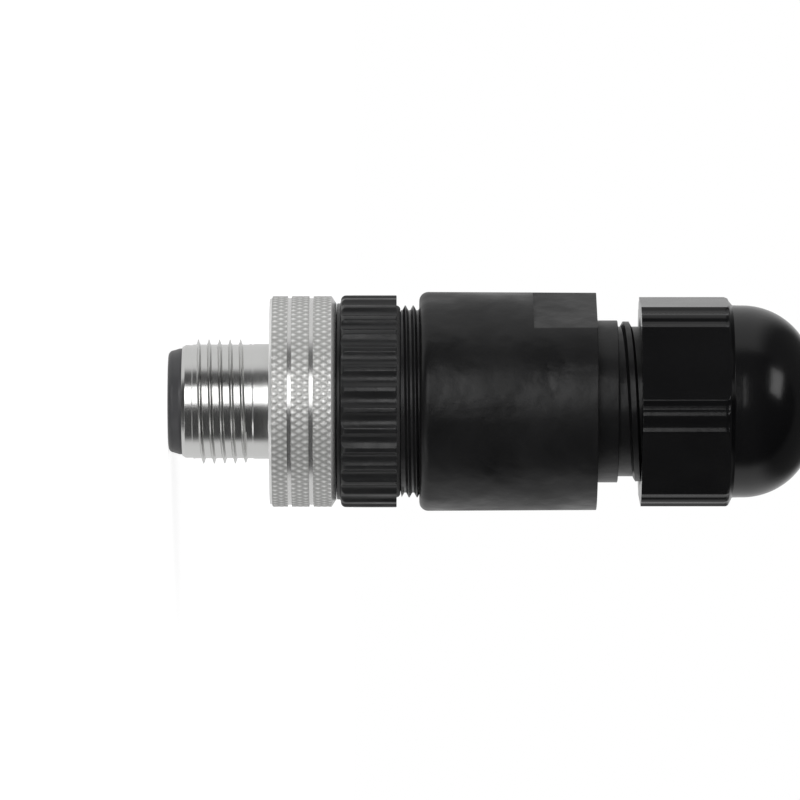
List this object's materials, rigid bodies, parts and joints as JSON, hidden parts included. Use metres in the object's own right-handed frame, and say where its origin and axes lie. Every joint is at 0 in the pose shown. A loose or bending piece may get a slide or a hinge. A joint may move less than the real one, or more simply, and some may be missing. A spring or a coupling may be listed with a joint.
{
  "type": "m12 connector",
  "caption": "Straight male circular connector with an M12 screw ring, ribbed grip, screw terminals and a domed cable gland.",
  "frame": {"origin": "centre of the mating face, on the axis, where the part stands on its shroud rim", "axes": "+Z along the axis from the mating face towards the cable, +X and +Y through contacts 1 and 2"},
  "size_m": [0.0208, 0.0208, 0.0609],
  "materials": {
    "nickel": "bright nickel plate on brass, turned and knurled",
    "insert_plastic": "black polyamide, moulded",
    "contact_metal": "gold plate on brass",
    "screw_steel": "zinc plate",
    "black_plastic": "black polyamide, fine mottled satin",
    "seal_rubber": "matt black rubber",
    "cage_plastic": "light grey polyamide, moulded",
    "nut_plastic": "black polyamide, smoother than the housing"
  },
  "bodies": {
    "insert": {"contact_carrier": "insert_plastic", "terminal_block": "insert_plastic", "contact_1": "contact_metal", "contact_2": "contact_metal", "contact_3": "contact_metal", "contact_4": "contact_metal", "terminal_screws": "screw_steel", "grip_ring": "black_plastic", "housing_seal": "seal_rubber"},
    "coupling_ring": {"coupling_ring": "nickel"},
    "gland_seal": {"gland_seal": "seal_rubber"},
    "housing": {"housing": "black_plastic"},
    "clamping_cage": {"clamping_cage": "cage_plastic"},
    "gland_nut": {"gland_nut": "nut_plastic"}
  },
  "joints": [
    {"name": "coupling_spin", "type": "hinge", "parent": "insert", "child": "coupling_ring", "pos_m": [0, 0, 0.0128], "axis": [0, 0, 1], "continuous": true},
    {"name": "housing_travel", "type": "slide", "parent": "insert", "child": "gland_seal", "axis": [0, 0, 1], "range_m": [-0.00205, 0.0045]},
    {"name": "housing_turn", "type": "hinge", "parent": "gland_seal", "child": "housing", "pos_m": [0, 0, 0.032], "axis": [0, 0, 1], "range_deg": [-980, 2150]},
    {"name": "nut_travel", "type": "slide", "parent": "housing", "child": "clamping_cage", "axis": [0, 0, 1], "range_m": [-0.002, 0.0059]},
    {"name": "nut_turn", "type": "hinge", "parent": "clamping_cage", "child": "gland_nut", "pos_m": [0, 0, 0.05], "axis": [0, 0, 1], "range_deg": [-305, 900]}
  ],
  "couplings": [
    {"joint": "housing_travel", "follows": "housing_turn", "m_per_rad": 0.00011937},
    {"joint": "nut_travel", "follows": "nut_turn", "m_per_rad": 0.00037401}
  ]
}
